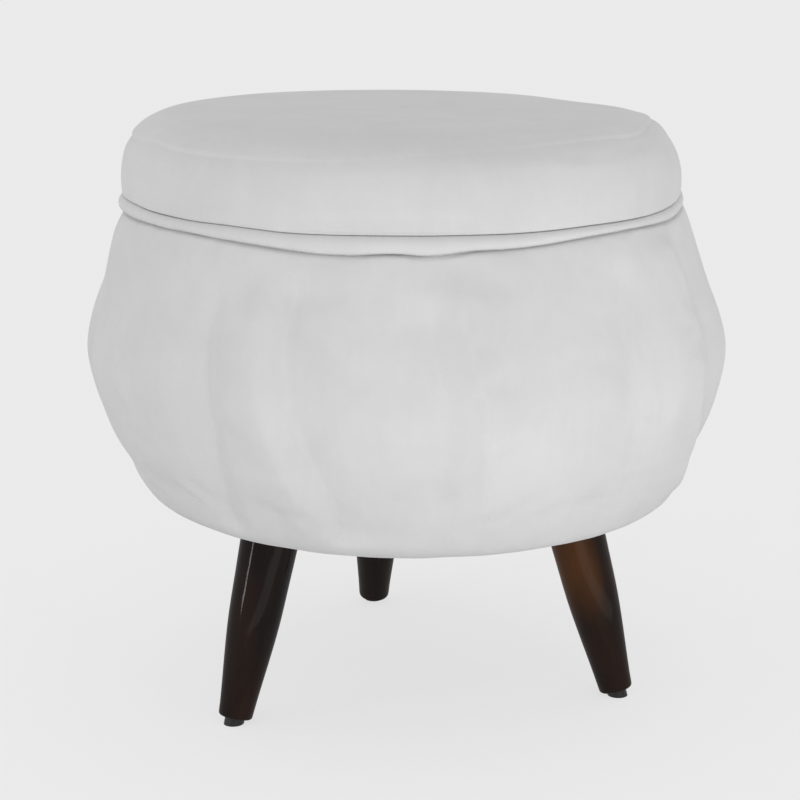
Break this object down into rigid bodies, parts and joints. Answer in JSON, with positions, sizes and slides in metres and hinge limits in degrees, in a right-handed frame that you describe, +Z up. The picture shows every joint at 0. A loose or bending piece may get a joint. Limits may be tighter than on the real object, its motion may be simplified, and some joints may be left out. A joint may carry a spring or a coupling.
{
  "type": "upholstered storage pouf",
  "caption": "Round upholstered pouf with a padded lift-off lid over a lined hollow, a piped rim and splayed turned wooden legs.",
  "frame": {"origin": "centre of the underside of the whole pouf, on the floor it stands on", "axes": "+Z up along the drum's axis, +Y towards the single back leg, the pictured side faces -Y"},
  "size_m": [0.4859, 0.486, 0.45],
  "materials": {
    "cover_fabric": "smooth pale grey short-pile velvet",
    "lining_fabric": "plain grey cotton twill on card",
    "dust_fabric": "black non-woven cloth",
    "padding": "foam, wadding and cotton cord",
    "leg_wood": "dark espresso stain under gloss lacquer",
    "frame_wood": "bare plywood, hardboard and pine",
    "plate_steel": "black powder-coated steel",
    "fastener_steel": "zinc plated steel",
    "glide_plastic": "black moulded nylon"
  },
  "bodies": {
    "drum": {"base_board": "frame_wood", "body_cover": "cover_fabric", "body_padding": "padding", "drum_wall": "frame_wood", "dust_cover": "dust_fabric", "dust_cover_staples": "fastener_steel", "frame_screws_bottom": "fastener_steel", "frame_screws_top": "fastener_steel", "glide_back": "glide_plastic", "glide_front_left": "glide_plastic", "glide_front_right": "glide_plastic", "hanger_bolt_back": "fastener_steel", "hanger_bolt_front_left": "fastener_steel", "hanger_bolt_front_right": "fastener_steel", "hem_staples": "fastener_steel", "leg_back": "leg_wood", "leg_front_left": "leg_wood", "leg_front_right": "leg_wood", "leg_plate_back": "plate_steel", "leg_plate_front_left": "plate_steel", "leg_plate_front_right": "plate_steel", "leg_plate_screws": "fastener_steel", "piping_cord": "padding", "piping_cover": "cover_fabric", "post_1": "frame_wood", "post_2": "frame_wood", "post_3": "frame_wood", "post_4": "frame_wood", "post_5": "frame_wood", "post_6": "frame_wood", "rim_facing": "cover_fabric", "storage_floor_lining": "lining_fabric", "storage_wall_lining": "lining_fabric", "top_hoop": "frame_wood"},
    "lid": {"lid_board": "frame_wood", "lid_foam": "padding", "lid_lining": "lining_fabric", "lid_locator": "frame_wood", "lid_side_band": "cover_fabric", "lid_staples": "fastener_steel", "lid_top_panel": "cover_fabric", "lid_wadding": "padding", "locator_screws": "fastener_steel"}
  },
  "joints": [
    {"name": "lid_lift", "type": "slide", "parent": "drum", "child": "lid", "axis": [0, 0, 1], "range_m": [0, 0.18]}
  ]
}
